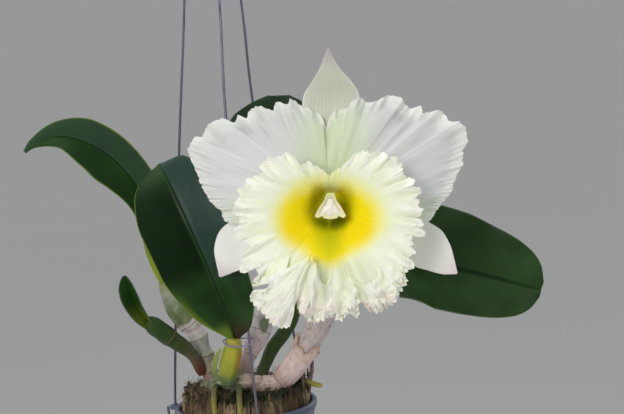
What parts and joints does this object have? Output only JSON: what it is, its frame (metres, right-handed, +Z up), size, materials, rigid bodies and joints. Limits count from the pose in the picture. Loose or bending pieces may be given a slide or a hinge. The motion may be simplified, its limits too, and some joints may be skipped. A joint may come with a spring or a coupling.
{
  "type": "cattleya orchid in hanging basket",
  "caption": "Cattleya orchid in flower, with leaves and pseudobulbs, growing in a slotted hanging basket of coconut husk with a wire hanger and hook.",
  "frame": {"origin": "highest inner point of the hook, where the rail or nail that holds the part up touches it", "axes": "+Z is up, along the hanger; the flower faces -Y; +X is to the right of a viewer who faces the flower"},
  "size_m": [0.3124, 0.1569, 0.5552],
  "materials": {
    "basket_plastic": "satin, slightly translucent",
    "coconut_husk": "dry fibrous chunks",
    "papery_stem": "papery sheath over a ridged stem",
    "green_stem": "smooth living stem",
    "sheath_paper": "dry torn paper",
    "leaf_green": "waxy gloss",
    "root_skin": "matte",
    "petal_white": "soft crystalline sheen",
    "lip_cream": "soft crystalline sheen",
    "column_wax": "waxy",
    "hanger_wire": "galvanised",
    "tie_wire": "thin white coating"
  },
  "bodies": {
    "root": {"basket": "basket_plastic", "rhizome": "papery_stem", "pseudobulb_back_left": "papery_stem", "pseudobulb_front": "green_stem", "pseudobulb_middle": "papery_stem", "pseudobulb_rear": "green_stem", "pseudobulb_flowering": "papery_stem", "sheath_flowering": "sheath_paper", "new_shoot": "green_stem", "leaf_new_shoot": "leaf_green", "bract_front": "green_stem", "leaf_far_left": "leaf_green", "leaf_front": "leaf_green", "leaf_rear": "leaf_green", "leaf_right": "leaf_green", "flower_stalk": "green_stem", "sepal_dorsal": "petal_white", "sepal_left": "petal_white", "sepal_right": "petal_white", "petal_left": "petal_white", "petal_right": "petal_white", "lip": "lip_cream", "column": "column_wax", "husk_1": "coconut_husk", "husk_2": "coconut_husk", "husk_3": "coconut_husk", "husk_4": "coconut_husk", "husk_5": "coconut_husk", "husk_6": "coconut_husk", "husk_7": "coconut_husk", "husk_8": "coconut_husk", "husk_middle": "coconut_husk", "root_front_left": "root_skin", "root_front": "root_skin", "root_right": "root_skin", "root_dry_right": "root_skin", "hanger_wire_front": "hanger_wire", "hanger_wire_right": "hanger_wire", "hanger_wire_left": "hanger_wire", "hanger_collar": "hanger_wire", "hanger_hook": "hanger_wire", "wire_tie": "tie_wire"}
  },
  "joints": []
}
